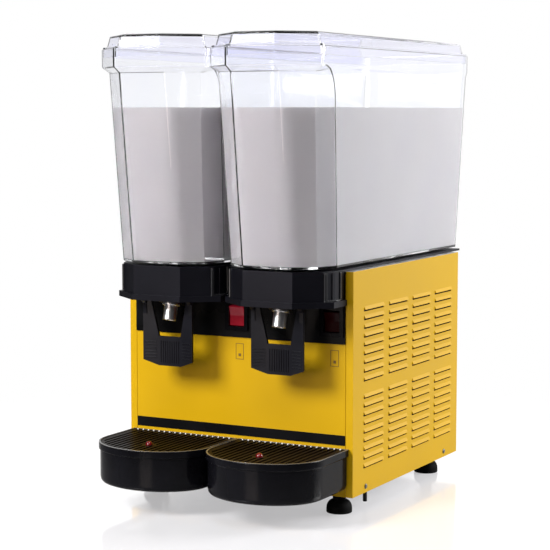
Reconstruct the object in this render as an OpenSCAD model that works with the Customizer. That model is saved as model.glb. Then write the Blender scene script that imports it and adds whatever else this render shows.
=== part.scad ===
// Twin cold drink dispenser: two clear tanks with push taps on a sheet-steel cooling cabinet.
// Millimetres, +Z up, the front faces -Y. The origin is at floor level under the middle.

/* [Cabinet] */
// Width over the side panels
cab_w = 360; // [340:1:420]
// Depth from the front face to the rear face
cab_d = 375; // [340:1:420]
// Height of the cabinet without its feet
cab_h = 312; // [300:1:360]
// Thickness of the cabinet's steel sheet
sheet_t = 1.2; // [0.8:0.1:2]
// Width of the folded edges of the side panels
flange_w = 11; // [8:0.5:16]
// Height of the base pan's turned-up edge
pan_edge_h = 16; // [14:1:24]
// Height of a foot
foot_h = 26; // [20:1:40]
// Radius of a foot on the floor
foot_r = 18; // [12:0.5:19.5]
// Distance from a foot's middle to the side of the cabinet
foot_inset = 30; // [24:1:50]
// Distance from a front foot's middle to the front of the cabinet
foot_front = 20; // [18:1:60]
// Distance from a rear foot's middle to the rear of the cabinet
foot_rear = 50; // [24:1:80]

/* [Louvres] */
// Length of one louvre
louvre_l = 64; // [40:1:70]
// Height of the slot under a louvre's hood
louvre_slot_h = 2.6; // [1.5:0.1:4]
// How far a hood stands out
louvre_out = 2.4; // [1:0.1:5]
// Height of a hood
louvre_hood_h = 4.6; // [3:0.1:6]
// Vertical pitch of the louvres
louvre_pitch = 12.2; // [11:0.1:13]
// Pitch of the louvre columns
louvre_col_pitch = 83; // [72:1:90]
// Distance from the front to the first louvre column
louvre_front = 35; // [20:1:45]
// Distance from the cabinet's top to the first louvre
louvre_top = 55; // [30:1:70]

/* [Fascia] */
// Height of the black control panel
fascia_h = 100; // [95:1:120]
// Thickness of the black control panel
fascia_t = 2; // [1:0.1:4]
// Height of the bare black strip
strip_h = 14; // [8:0.5:24]
// Distance from the cabinet's bottom to the strip
strip_z = 72; // [70:0.5:90]
// Thickness of the bare black strip
strip_t = 0.8; // [0.4:0.1:1.6]
// Width of a switch bezel
bezel_w = 36; // [34:0.5:38]
// Height of a switch bezel
bezel_h = 42; // [38:0.5:43]
// How far a bezel stands out of the control panel
bezel_t = 3; // [2:0.1:5]
// Width of a rocker
rocker_w = 24; // [18:0.5:26]
// Height of a rocker
rocker_h = 28; // [22:0.5:30]
// Thickness of a rocker
rocker_t = 10; // [8:0.5:12]
// Tilt of a rocker at rest
rocker_tilt = 7; // [4:0.5:9]
// Distance from the second switch's middle to the control panel's right edge
switch_inset = 19.6; // [18.6:0.2:24]
// Distance from a switch's middle to the cabinet's top
switch_drop = 69; // [67:0.5:72]

/* [Tank] */
// Distance between the middles of the two tanks
tank_pitch = 175; // [174:0.5:190]
// Width of a tank at its floor
tank_floor_w = 156; // [140:0.5:158]
// Width of a tank below its rim
tank_top_w = 170; // [160:0.5:171]
// Width of a tank's rim
rim_w = 173; // [172:0.5:174]
// Height of a tank from its floor to its rim
tank_h = 271; // [240:1:320]
// Height of the rim
rim_h = 25; // [20:0.5:35]
// Thickness of the tank's wall
tank_t = 3; // [2.5:0.1:4]
// How far the tank's floor reaches in front of the cabinet
floor_reach = 78.5; // [72:0.5:90]
// How far the tank's wall reaches in front of the cabinet below the rim
wall_reach = 110; // [100:0.5:120]
// How far the rim reaches in front of the cabinet
rim_reach = 124; // [121:0.5:135]
// How far the tank's floor overhangs the cabinet's rear
floor_overhang = 36; // [10:0.5:45]
// How far the rim overhangs the cabinet's rear
rim_overhang = 57; // [50:0.5:70]
// Half the width of the tank's front facet
facet_hw = 36.5; // [30:0.5:42]
// Radius of the curve that runs the side wall out to the rim
runout_r = 38; // [20:1:50]
// Height of the shoulder under the rim
shoulder_h = 8; // [4:0.5:12]
// Radius of the outlet pipe under the tank's floor
outlet_r = 13; // [12:0.1:13.5]
// Length of the outlet pipe
outlet_l = 16; // [14:0.5:22]

/* [Lid] */
// Height of the lid's raised dome
dome_h = 16.5; // [8:0.5:24]
// Thickness of the lid
lid_t = 2.4; // [1.6:0.1:3]
// Depth of the lid's skirt inside the rim
skirt_h = 12; // [6:0.5:18]
// Distance from the rim's outside to the foot of the dome
dome_inset = 7; // [6.5:0.5:16]

/* [Bowl base] */
// Thickness of the bowl base's deck
deck_t = 3; // [2.5:0.5:9]
// Width of the bowl base's deck
deck_w = 160; // [150:1:164]
// Height of the nose under the deck
nose_h = 38; // [36:0.5:44]
// Wall of the nose
nose_wall = 4; // [3:0.1:4.5]
// How far the nose reaches in front of the cabinet
nose_reach = 75; // [73:0.5:80]
// Height of the lip under the nose
lip_h = 8; // [5:0.5:10]
// Width over the lip
lip_w = 168; // [164:1:172]

/* [Cooling and stirring] */
// Radius of an evaporator
evap_r = 50; // [40:0.5:56]
// Height of an evaporator above its flange
evap_h = 109; // [80:1:140]
// Distance from the cabinet's front to the evaporators
evap_y = 190; // [170:1:200]
// Thickness of the evaporator's sheet
evap_t = 1.5; // [1:0.1:2.5]
// Radius of the impeller's axle
axle_r = 3; // [2.5:0.1:4]
// Radius of the impeller's vanes
vane_r = 40; // [30:0.5:46]
// Height of an impeller
impeller_h = 16; // [12:0.5:24]
// Radius of a stirrer motor
motor_r = 34; // [26:0.5:40]
// Length of a stirrer motor
motor_l = 62; // [50:1:80]
// Radius of the drive shaft
shaft_r = 3; // [2.5:0.1:4]
// Radius of the drive magnet
magnet_r = 30; // [20:0.5:36]
// Radius of the condenser fan
fan_r = 76; // [60:1:80]
// Radius of the compressor
comp_r = 60; // [50:1:64]
// Height of the compressor
comp_h = 150; // [120:1:160]

/* [Tap] */
// Distance of the valve in front of the cabinet
valve_y = 36; // [34:0.5:38]
// Distance of the lever's pin in front of the valve
lever_arm = 20; // [19:0.5:21]
// Radius of the tap body
tap_r = 17; // [16.5:0.1:18]
// Radius of the lever's pin
pin_r = 2.5; // [2:0.1:3]
// Forward lean of the spout
spout_lean = 13; // [8:0.5:16]
// Outer radius of the spout
spout_r = 9.5; // [9:0.1:11]
// Length of the spout
spout_l = 24; // [18:0.5:30]
// Wire radius of the valve spring
wire_r = 0.6; // [0.4:0.05:0.8]

/* [Lever] */
// Width of the paddle
paddle_w = 80.6; // [74:0.2:84]
// Height of the paddle
paddle_h = 42; // [34:0.5:44]
// Thickness of the lever
lever_t = 4; // [3:0.1:5]
// Half the width of the paddle's middle facet
paddle_mid_hw = 17.8; // [14:0.2:22]
// How far the paddle's sides stand in front of its middle
paddle_hollow = 6; // [3:0.5:8]
// Distance of the paddle's middle in front of the cabinet
paddle_y = 41.3; // [40:0.5:45]
// Distance from the cabinet's top to the paddle's foot
paddle_drop = 142; // [130:1:146]
// Width of an arm at its top
arm_w = 11; // [8:0.5:12]

/* [Drip tray] */
// Width of a tray
tray_w = 173.6; // [166:0.2:174]
// How far a tray reaches in front of the cabinet
tray_reach = 146; // [140:1:170]
// Length of the tray's straight sides
tray_side = 75; // [60:1:90]
// Height of a tray
tray_h = 57; // [50:0.5:60]
// Distance from the floor to the tray
tray_z = 36; // [34:0.5:44]
// Wall of a tray
tray_t = 2.4; // [2:0.1:3.5]
// Height of the tray's rim band
tray_band_h = 9; // [6:0.5:14]
// Pitch of the grid's slots
slot_pitch = 9; // [8:0.5:14]
// Width of a slot
slot_w = 5; // [3:0.2:6]
// Thickness of the grid
grid_t = 3; // [2:0.1:4]
// Radius of the float's red button
float_r = 5; // [4:0.1:6]
// Distance of the float in front of the cabinet
float_y = 97; // [85:1:105]

/* [Hidden] */
$fn = 48;
// Clearance between pieces that lift, slide or swing past each other
gap = 0.3;
// Radial clearance of a turning fit
run_gap = 0.05;
// Overlap of a cut past the face it opens
cut = 1;
// Seam beside the front and rear panels
seam = 0.4;

cab_z0 = foot_h;
cab_z1 = foot_h + cab_h;
panel_hw = cab_w / 2 - flange_w - seam;
pan_t = sheet_t + 0.3;
fascia_z = cab_z1 - fascia_h;
deck_z = cab_z1 + deck_t;
seal_t = 1.5;
tank_z = deck_z + evap_t + seal_t + gap;
rim_z = tank_z + tank_h;
rim_top = rim_z + rim_h;
lid_z = rim_top + gap;
rim_back = cab_d + rim_overhang;
centre_y = (rim_back - tray_reach) / 2;

// Corner cuts of the tank's plan: across the front corner and along the side
corner_floor = 23;
corner_top = 33;
corner_rim = 45;
side_cut_x = 11;
side_cut_y = 35;
rim_cut_x = 1.5;
rim_cut_y = 9;
rear_cut = 12;

nose_z = deck_z - deck_t - nose_h;
lip_z = nose_z - lip_h;
nose_hw = deck_w / 2;
nose_facet_hw = facet_hw + 1.5;
nose_corner = 26;
nose_side_cut = 9;
lip_out = 3;
latch_w = 6;
latch_gap = 12;

plate_z = deck_z - deck_t;
valve_z = plate_z - 12;
pin_z = plate_z - 40;
lever_pin_y = valve_y + lever_arm;
chamber_r = 9;
seat_r = 6;
seat_t = 4;
web_z = valve_z - seat_t;
stem_r = axle_r;
collar_r = 7.5;
collar_t = 3;
prong_t = 5;
prong_gap = 0.6;
prong_w = 3.4;
prong_in = stem_r + prong_gap;
collar_z = pin_z + prong_t / 2 + 0.5;
spring_r = (chamber_r + seat_r) / 2;
spring_turns = 4;
tap_foot_z = pin_z - 13;
arm_in = paddle_w / 2 - arm_w;
boss_r = pin_r + 3.5;
ear_t = 4;
ear_x = paddle_w / 2 + 2;

tray_top = tray_z + tray_h;
tray_inset = 2;
tray_round = 9;
tray_back = 0.6;
ledge_w = 3;
grid_z = tray_top - grid_t - 0.2;
grid_inset = tray_t + gap;
grid_border = 5;
tray_floor = tray_z + 3;
float_post_r = 2;
float_post_h = 15;
bracket_w = 20;
bracket_t = 2;
bracket_x = 40;
bracket_reach = 90;

yellow = [0.89, 0.69, 0.02];
black = [0.08, 0.08, 0.09];
dark_grey = [0.2, 0.2, 0.21];
clear = [0.9, 0.92, 0.95, 0.35];
steel = [0.75, 0.76, 0.78];
copper = [0.72, 0.42, 0.25];
white = [0.93, 0.93, 0.9];
red = [0.7, 0.06, 0.08];

// Moves a piece drawn from the cabinet's front plane into the part's own frame.
module in_frame() {
    translate([0, -centre_y, 0]) children();
}

// Moves a piece drawn on a tank's middle plane to the left (-1) or right (1) tank.
module at_tank(side) {
    in_frame() translate([side * tank_pitch / 2, 0, 0]) children();
}

// Skins a stack of rings that hold the same number of points, lowest ring first.
module loft(rings) {
    n = len(rings[0]);
    top = (len(rings) - 1) * n;
    points = [for (ring = rings) each ring];
    walls = [
        for (k = [0 : n : top - n], i = [0 : n - 1])
            let (a = k + i, b = k + (i + 1) % n)
            each [[a, b + n, b], [a, a + n, b + n]]
    ];
    floor_cap = [for (i = [0 : n - 1]) i];
    roof_cap = [for (i = [n - 1 : -1 : 0]) top + i];
    polyhedron(points, concat([floor_cap], walls, [roof_cap]), convexity = 6);
}

function at_z(ring, z) = [for (p = ring) [p.x, p.y, z]];
function blend(a, b, t) = a + (b - a) * t;
function unit(v) = v / norm(v);

// Moves every edge of a ring inwards by the same distance.
function inset_ring(ring, distance) =
    let (n = len(ring))
    [for (i = [0 : n - 1])
        let (
            before = unit(ring[i] - ring[(i + n - 1) % n]),
            after = unit(ring[(i + 1) % n] - ring[i]),
            inward_a = [-before.y, before.x],
            inward_b = [-after.y, after.x]
        )
        ring[i] + (inward_a + inward_b) * distance / (1 + inward_a * inward_b)];

// Completes a plan from its right half, listed from the front to the rear.
function both_sides(right) =
    concat(right, [for (i = [len(right) - 1 : -1 : 0]) [-right[i].x, right[i].y]]);

// Cabinet

module plate_box(x0, x1, y0, y1, z0, z1) {
    translate([x0, y0, z0]) cube([x1 - x0, y1 - y0, z1 - z0]);
}

module base_pan() {
    hw = cab_w / 2 - sheet_t;
    y0 = sheet_t;
    y1 = cab_d - sheet_t;
    color("silver") difference() {
        plate_box(-hw, hw, y0, y1, cab_z0, cab_z0 + pan_edge_h);
        plate_box(-hw + pan_t, hw - pan_t, y0 + pan_t, y1 - pan_t,
            cab_z0 + pan_t, cab_z0 + pan_edge_h + cut);
    }
}

module louvre_places() {
    rows = 9;
    for (col = [0 : 3], row = [0 : 2 * rows])
        if (row != rows)
            translate([cab_w / 2, louvre_front + col * louvre_col_pitch,
                cab_z1 - louvre_top - row * louvre_pitch]) children();
}

module side_panel() {
    color(yellow) difference() {
        union() {
            plate_box(cab_w / 2 - sheet_t, cab_w / 2, 0, cab_d, cab_z0, cab_z1);
            plate_box(cab_w / 2 - flange_w, cab_w / 2, 0, sheet_t, cab_z0, cab_z1);
            plate_box(cab_w / 2 - flange_w, cab_w / 2, cab_d - sheet_t, cab_d, cab_z0, cab_z1);
            plate_box(cab_w / 2 - flange_w, cab_w / 2, 0, cab_d, cab_z1 - 2 * sheet_t, cab_z1 - sheet_t);
            louvre_places() rotate([-90, 0, 0]) linear_extrude(louvre_l)
                polygon([[0, 0], [louvre_out, 0], [0, -louvre_hood_h]]);
        }
        louvre_places() translate([-sheet_t - cut, 0, -louvre_slot_h])
            cube([sheet_t + 2 * cut, louvre_l, louvre_slot_h]);
    }
}

gland_x = -cab_w / 2 + 60;
gland_z = 50;
gland_r = 8;

module rear_panel() {
    vent_w = 90;
    vent_h = 4;
    vent_x = [-120, 30];
    vent_z = cab_z0 + 100;
    color(yellow) difference() {
        plate_box(-panel_hw, panel_hw, cab_d - sheet_t, cab_d, cab_z0, cab_z1);
        for (x = vent_x, row = [0 : 11])
            plate_box(x, x + vent_w, cab_d - sheet_t - cut, cab_d + cut,
                vent_z + row * louvre_pitch, vent_z + row * louvre_pitch + vent_h);
        translate([gland_x, cab_d - sheet_t - cut, cab_z0 + gland_z]) rotate([-90, 0, 0])
            cylinder(r = gland_r + gap, h = sheet_t + 2 * cut);
    }
}

module cable_gland() {
    nut_t = 6;
    color(black) translate([gland_x, cab_d, cab_z0 + gland_z]) rotate([-90, 0, 0]) difference() {
        union() {
            cylinder(r = gland_r + 4, h = nut_t, $fn = 6);
            translate([0, 0, nut_t]) cylinder(r1 = gland_r + 2, r2 = gland_r - 1, h = 12);
            translate([0, 0, -sheet_t]) cylinder(r = gland_r, h = sheet_t);
            translate([0, 0, -sheet_t - nut_t]) cylinder(r = gland_r + 3, h = nut_t, $fn = 6);
        }
        translate([0, 0, -sheet_t - nut_t - cut]) cylinder(r = 4, h = 40);
    }
}

switch_z = cab_z1 - switch_drop;
housing_w = rocker_w + 6;
housing_h = rocker_h + 6;
housing_d = 26;

// Places a piece on the left (-1) or right (1) switch, in front of the control panel.
module at_switch(side) {
    translate([side < 0 ? 0 : panel_hw - switch_inset, -fascia_t, switch_z]) children();
}

module switch_holes(y0, y1) {
    for (side = [-1, 1])
        at_switch(side) plate_box(-housing_w / 2 - gap, housing_w / 2 + gap, y0, y1,
            -housing_h / 2 - gap, housing_h / 2 + gap);
}

module front_panel() {
    fold = 14;
    color(yellow) difference() {
        union() {
            plate_box(-panel_hw, panel_hw, 0, sheet_t, cab_z0, cab_z1 - 2 * sheet_t - gap);
            for (x = [-panel_hw, panel_hw - sheet_t])
                plate_box(x, x + sheet_t, 0, fold, cab_z0 + pan_edge_h + cut, cab_z1 - 2 * sheet_t - gap);
        }
        switch_holes(0, fascia_t + sheet_t + cut);
    }
}

module control_panel() {
    color(black) difference() {
        plate_box(-panel_hw, panel_hw, -fascia_t, 0, fascia_z, cab_z1);
        switch_holes(-cut, fascia_t + cut);
    }
}

module bare_strip() {
    color(black) plate_box(-panel_hw, panel_hw, -strip_t, 0, cab_z0 + strip_z, cab_z0 + strip_z + strip_h);
}

module top_plate() {
    hw = cab_w / 2 - sheet_t - seam;
    color("silver") difference() {
        plate_box(-hw, hw, sheet_t + seam, cab_d - sheet_t - seam, cab_z1 - sheet_t, cab_z1);
        for (side = [-1, 1])
            translate([side * tank_pitch / 2, evap_y, cab_z1 - sheet_t - cut])
                cylinder(r = evap_r - 20, h = sheet_t + 2 * cut);
    }
}

module feet() {
    neck_r = foot_r / 2;
    sole_h = 6;
    bell_h = 12;
    bell = [for (a = [0 : 18 : 90]) [neck_r + (foot_r - neck_r) * cos(a), sole_h + bell_h * sin(a)]];
    color(black) for (x = [-1, 1], y = [foot_front, cab_d - foot_rear])
        translate([x * (cab_w / 2 - foot_inset), y, 0]) rotate_extrude()
            polygon(concat([[0, 0], [foot_r, 0]], bell, [[neck_r, foot_h], [0, foot_h]]));
}

module panel_screws() {
    head_r = 4;
    head_h = 1.6;
    screw_front = 42;
    screw_rear = 52;
    screw_z = 9;
    color("silver") for (x = [-1, 1], y = [screw_front, cab_d - screw_rear])
        translate([x * cab_w / 2, y, cab_z0 + screw_z]) rotate([0, x * 90, 0])
            cylinder(r1 = head_r, r2 = head_r * 0.7, h = head_h);
}

module base_bolts() {
    bolt_r = 3;
    bolt_l = 20;
    bolt_inset = 15;
    bolt_y = 72;
    nut_t = 5;
    color(black) for (x = [-1, 1])
        translate([x * (cab_w / 2 - bolt_inset), bolt_y, cab_z0 - bolt_l]) {
            cylinder(r = bolt_r, h = bolt_l);
            translate([0, 0, bolt_l - nut_t]) cylinder(r = bolt_r * 2, h = nut_t, $fn = 6);
        }
}

// Cooling unit inside the cabinet

pan_top = cab_z0 + pan_t;
cooling_y = cab_d / 2 + 5;
comp_x = -cab_w / 2 + 80;
comp_y = cooling_y;
cond_w = 36;
cond_x = cab_w / 2 - cond_w - 32;
cond_l = 200;
cond_h = 190;
shroud_t = 12;
fan_y = cooling_y;
fan_z = pan_top + cond_h / 2;
fan_d = 16;
fan_x = cond_x - shroud_t - fan_d;
fan_hub_r = 16;
fan_motor_r = 26;
fan_motor_l = 44;

module compressor() {
    foot_w = 2 * comp_r + 20;
    stand = 14;
    color(black) translate([comp_x, comp_y, pan_top]) {
        rotate_extrude()
            polygon([[0, stand], [comp_r - 12, stand], [comp_r, stand + 14], [comp_r, comp_h - 22],
                [comp_r - 22, comp_h], [0, comp_h]]);
        plate_box(-foot_w / 2, foot_w / 2, -comp_r + 10, comp_r - 10, stand - 3, stand);
        for (x = [-1, 1], y = [-1, 1])
            translate([x * (foot_w / 2 - 10), y * (comp_r - 20), 0]) cylinder(r = 8, h = stand - 3);
    }
}

module condenser() {
    fins = 18;
    tube_r = 4;
    color("silver") translate([cond_x, fan_y - cond_l / 2, pan_top]) {
        for (i = [0 : fins - 1])
            translate([0, i * (cond_l - 1) / (fins - 1), 0]) cube([cond_w, 1, cond_h]);
        for (k = [0 : 6], x = [cond_w / 4, cond_w * 3 / 4])
            translate([x, 0, cond_h * (k + 0.5) / 7]) rotate([-90, 0, 0]) cylinder(r = tube_r, h = cond_l);
    }
}

module fan_shroud() {
    ring_t = 2;
    color(black) translate([cond_x - shroud_t, fan_y - cond_l / 2, pan_top]) difference() {
        cube([shroud_t, cond_l, cond_h]);
        translate([-cut, cond_l / 2, cond_h / 2]) rotate([0, 90, 0])
            cylinder(r = fan_r + 4, h = shroud_t - ring_t + cut);
        translate([0, cond_l / 2, cond_h / 2]) rotate([0, 90, 0])
            cylinder(r = fan_r + 2, h = shroud_t + cut);
    }
}

module fan() {
    blades = 5;
    color(dark_grey) translate([fan_x, fan_y, fan_z]) rotate([0, 90, 0]) {
        cylinder(r = fan_hub_r, h = fan_d);
        translate([0, 0, -fan_motor_l + 10]) cylinder(r = shaft_r, h = fan_motor_l);
        for (i = [0 : blades - 1])
            rotate(i * 360 / blades) translate([fan_hub_r - 2, 0, fan_d / 2]) rotate([32, 0, 0])
                translate([0, -13, -1]) cube([fan_r - fan_hub_r, 26, 2]);
    }
}

module fan_motor() {
    leg_t = 4;
    leg_w = 40;
    foot_l = 40;
    color(dark_grey) translate([fan_x - 4 - fan_motor_l, fan_y, 0]) difference() {
        union() {
            translate([0, 0, fan_z]) rotate([0, 90, 0]) cylinder(r = fan_motor_r, h = fan_motor_l);
            plate_box(0, leg_t, -leg_w / 2, leg_w / 2, pan_top, fan_z);
            plate_box(-foot_l / 2, foot_l / 2, -leg_w / 2, leg_w / 2, pan_top, pan_top + leg_t);
        }
        translate([leg_t, 0, fan_z]) rotate([0, 90, 0])
            cylinder(r = shaft_r + run_gap, h = fan_motor_l);
    }
}

drier_r = 11;
drier_l = 90;
drier_y = 70;
drier_stub_r = 4;
drier_stub_l = 10;

module filter_drier() {
    color(copper) translate([-drier_l / 2, drier_y, pan_top + drier_r]) rotate([0, 90, 0]) {
        cylinder(r = drier_r, h = drier_l);
        translate([0, 0, -drier_stub_l]) cylinder(r = drier_stub_r, h = drier_l + 2 * drier_stub_l);
    }
}

// A run of straight pipe with a ball elbow at each corner
module pipe(points, r) {
    elbow = 1;
    for (i = [0 : len(points) - 2]) {
        step = points[i + 1] - points[i];
        translate(points[i]) rotate([0, acos(step.z / norm(step)), atan2(step.y, step.x)])
            cylinder(r = r, h = norm(step), $fn = 24);
        if (i > 0) translate(points[i]) sphere(r = r + elbow, $fn = 24);
    }
}

module refrigerant_pipes() {
    r = 3.5;
    hang = 20;
    z_high = cab_z1 - hang;
    rear_y = 330;
    comp_top = pan_top + comp_h + gap;
    cond_top = pan_top + cond_h + gap;
    drier_z = pan_top + drier_r;
    drier_end = drier_l / 2 + drier_stub_l + gap;
    cond_mid = cond_x + cond_w / 2;
    cond_face = fan_y - cond_l / 2 - gap;
    hot_rise = 48;
    z_hot = cond_top + hot_rise;
    tank_x = tank_pitch / 2;
    riser_y = evap_y - motor_r - 12;
    riser_top = cab_z1 - sheet_t - gap;
    color(copper) {
        pipe([[comp_x, comp_y, comp_top], [comp_x, comp_y, z_hot], [comp_x, rear_y, z_hot],
            [cond_mid, rear_y, z_hot], [cond_mid, fan_y, z_hot], [cond_mid, fan_y, cond_top]], r);
        pipe([[drier_end, drier_y, drier_z], [cond_mid, drier_y, drier_z],
            [cond_mid, cond_face, drier_z]], r);
        pipe([[-drier_end, drier_y, drier_z], [-tank_x, drier_y, drier_z], [-tank_x, drier_y, z_high],
            [-tank_x, riser_y, z_high], [-tank_x, riser_y, riser_top]], r);
        pipe([[-tank_x, drier_y, z_high], [tank_x, drier_y, z_high],
            [tank_x, riser_y, z_high], [tank_x, riser_y, riser_top]], r);
    }
}

module control_box() {
    box_x = 28;
    box_w = 80;
    box_d = 40;
    box_h = 60;
    back = cab_d - sheet_t - pan_t - gap;
    color(dark_grey) plate_box(box_x, box_x + box_w, back - box_d, back, pan_top, pan_top + box_h);
}

// Bowl base, evaporator and stirrer

nose_plan = both_sides([
    [nose_facet_hw, -nose_reach],
    [nose_hw - nose_side_cut, -nose_reach + nose_corner],
    [nose_hw, -nose_reach + nose_corner + 20],
    [nose_hw, -fascia_t]
]);

lip_plan = both_sides([
    [nose_facet_hw + 1, -nose_reach - lip_out],
    [lip_w / 2, -nose_reach + nose_corner + 7],
    [lip_w / 2, -fascia_t]
]);

module bowl_base() {
    floor_back = cab_d + floor_overhang;
    latch_x = nose_hw - nose_side_cut / 2;
    latch_y = -nose_reach + nose_corner + 14;
    color(black) difference() {
        union() {
            translate([0, 0, nose_z]) linear_extrude(deck_z - nose_z) polygon(nose_plan);
            plate_box(-nose_hw, nose_hw, -fascia_t - cut, floor_back, cab_z1, deck_z);
            translate([0, 0, lip_z]) linear_extrude(lip_h) polygon(lip_plan);
            for (x = [-1, 1], y = [0, latch_gap])
                translate([x * latch_x - latch_w / 2, latch_y + y, lip_z])
                    cube([latch_w, latch_w, nose_h + lip_h]);
        }
        translate([0, 0, lip_z - cut]) linear_extrude(plate_z - lip_z + cut)
            polygon(inset_ring(nose_plan, nose_wall));
        translate([0, -valve_y, plate_z - cut]) cylinder(r = outlet_r + 1, h = deck_t + 2 * cut);
        translate([0, evap_y, plate_z - cut]) cylinder(r = evap_r - 20, h = deck_t + 2 * cut);
    }
    color(black) for (x = [-ear_x - ear_t, ear_x])
        difference() {
            plate_box(x, x + ear_t, -lever_pin_y - boss_r, -lever_pin_y + boss_r, pin_z - boss_r, plate_z);
            translate([x - cut, -lever_pin_y, pin_z]) rotate([0, 90, 0])
                cylinder(r = pin_r, h = ear_t + 2 * cut);
        }
}

module evaporator() {
    flange_r = evap_r + 14;
    pin_top = evap_h + impeller_h + 4;
    color(steel) translate([0, evap_y, deck_z]) rotate_extrude()
        polygon([[evap_r - evap_t, 0], [flange_r, 0], [flange_r, evap_t], [evap_r, evap_t],
            [evap_r, evap_h - 6], [evap_r - 6, evap_h], [axle_r, evap_h],
            [axle_r, pin_top], [0, pin_top], [0, evap_h - evap_t],
            [evap_r - 6.6, evap_h - evap_t], [evap_r - evap_t, evap_h - 6.6]]);
}

seal_in = evap_r + 1;
seal_lip = seal_in + 3;

module tank_seal() {
    color(white) translate([0, evap_y, deck_z + evap_t]) rotate_extrude()
        polygon([[seal_in, 0], [seal_lip + 7, 0], [seal_lip + 7, seal_t], [seal_lip, seal_t],
            [seal_lip, seal_t + tank_t + 4], [seal_in, seal_t + tank_t + 4]]);
}

motor_z1 = cab_z1 - sheet_t;

module stirrer_motor() {
    color(dark_grey) translate([0, evap_y, motor_z1 - motor_l]) difference() {
        union() {
            cylinder(r = motor_r, h = motor_l);
            translate([0, 0, motor_l - 4]) cylinder(r = motor_r + 6, h = 4);
        }
        translate([0, 0, motor_l / 3]) cylinder(r = shaft_r + run_gap, h = motor_l);
    }
}

module drive_magnet() {
    magnet_t = 10;
    z0 = motor_z1 - motor_l * 2 / 3 + 1;
    z1 = deck_z + evap_h - evap_t - 1.5;
    color(dark_grey) translate([0, evap_y, 0]) {
        translate([0, 0, z0]) cylinder(r = shaft_r, h = z1 - z0);
        translate([0, 0, z1 - magnet_t]) cylinder(r = magnet_r, h = magnet_t);
    }
}

module impeller() {
    hub_r = 16;
    vanes = 6;
    vane_t = 2.4;
    color(white) translate([0, evap_y, deck_z + evap_h + gap]) difference() {
        union() {
            cylinder(r = hub_r, h = impeller_h);
            cylinder(r = vane_r, h = 3);
            for (i = [0 : vanes - 1])
                rotate(i * 360 / vanes) translate([hub_r - 2, -vane_t / 2, 0])
                    cube([vane_r - hub_r, vane_t, impeller_h - 2]);
        }
        translate([0, 0, -cut]) cylinder(r = axle_r + run_gap, h = impeller_h + 2 * cut);
    }
}

// Tank and lid

function tank_plan(hw, reach, back, corner, side_x, side_y) = both_sides([
    [facet_hw, -reach],
    [hw - side_x, -reach + corner],
    [hw, -reach + corner + side_y],
    [hw, back - rear_cut],
    [hw - rear_cut, back]
]);

// The straight wall between the floor (0) and the shoulder (1)
function wall_plan(t, inset) = inset_ring(tank_plan(
    blend(tank_floor_w, tank_top_w, t) / 2, blend(floor_reach, wall_reach, t),
    blend(cab_d + floor_overhang, rim_back - 2, t), blend(corner_floor, corner_top, t),
    side_cut_x, side_cut_y), inset);

function rim_plan(inset) = inset_ring(
    tank_plan(rim_w / 2, rim_reach, rim_back, corner_rim, rim_cut_x, rim_cut_y), inset);

// The front edge of the side wall runs out forwards on a quarter circle below the rim.
function runout_ring(angle, inset) =
    let (
        rise = tank_h - runout_r * (1 - sin(angle)),
        t = min(rise / (tank_h - shoulder_h), 1),
        flare = max(0, (rise - tank_h + shoulder_h) / shoulder_h),
        wall = wall_plan(t, inset),
        rim = rim_plan(inset),
        forward = 1 - cos(angle),
        last = len(wall) - 1
    )
    at_z([for (i = [0 : last])
        i == 2 || i == last - 2
            ? [blend(wall[i].x, rim[i].x, flare), blend(wall[i].y, rim[i].y, forward)]
            : blend(wall[i], rim[i], flare)], tank_z + rise);

function tank_rings(inset, z_floor, z_top) = concat(
    [at_z(wall_plan((z_floor - tank_z) / (tank_h - shoulder_h), inset), z_floor)],
    [for (angle = [0, 20, 40, 52, 64, 90]) runout_ring(angle, inset)],
    [at_z(rim_plan(inset), z_top)]
);

module tank() {
    color(clear) difference() {
        union() {
            loft(tank_rings(0, tank_z, rim_top));
            translate([0, -valve_y, tank_z - outlet_l]) cylinder(r = outlet_r, h = outlet_l + tank_t / 2);
        }
        loft(tank_rings(tank_t, tank_z + tank_t, rim_top + cut));
        translate([0, -valve_y, tank_z - outlet_l - cut])
            cylinder(r = outlet_r - 2.2, h = outlet_l + tank_t + 2 * cut);
        translate([0, evap_y, tank_z - cut]) cylinder(r = seal_lip + gap, h = tank_t + 2 * cut);
    }
}

module lid() {
    skirt_out = tank_t + 0.8;
    skirt_in = skirt_out + 2;
    flange_in = 1.5;
    flange_z = lid_z + lid_t;
    crown = 1.5;
    slope = 4;
    crown_inset = dome_inset + slope + 5;
    color(clear) difference() {
        loft([
            at_z(rim_plan(skirt_out), lid_z - skirt_h), at_z(rim_plan(skirt_out), lid_z),
            at_z(rim_plan(flange_in), lid_z), at_z(rim_plan(flange_in), flange_z),
            at_z(rim_plan(dome_inset), flange_z),
            at_z(rim_plan(dome_inset + slope), flange_z + dome_h - crown),
            at_z(rim_plan(crown_inset), flange_z + dome_h)
        ]);
        loft([
            at_z(rim_plan(skirt_in), lid_z - skirt_h - cut), at_z(rim_plan(skirt_in), lid_z),
            at_z(rim_plan(dome_inset + lid_t), lid_z),
            at_z(rim_plan(dome_inset + slope + lid_t), flange_z + dome_h - crown - lid_t)
        ]);
    }
}

// Tap

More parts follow.
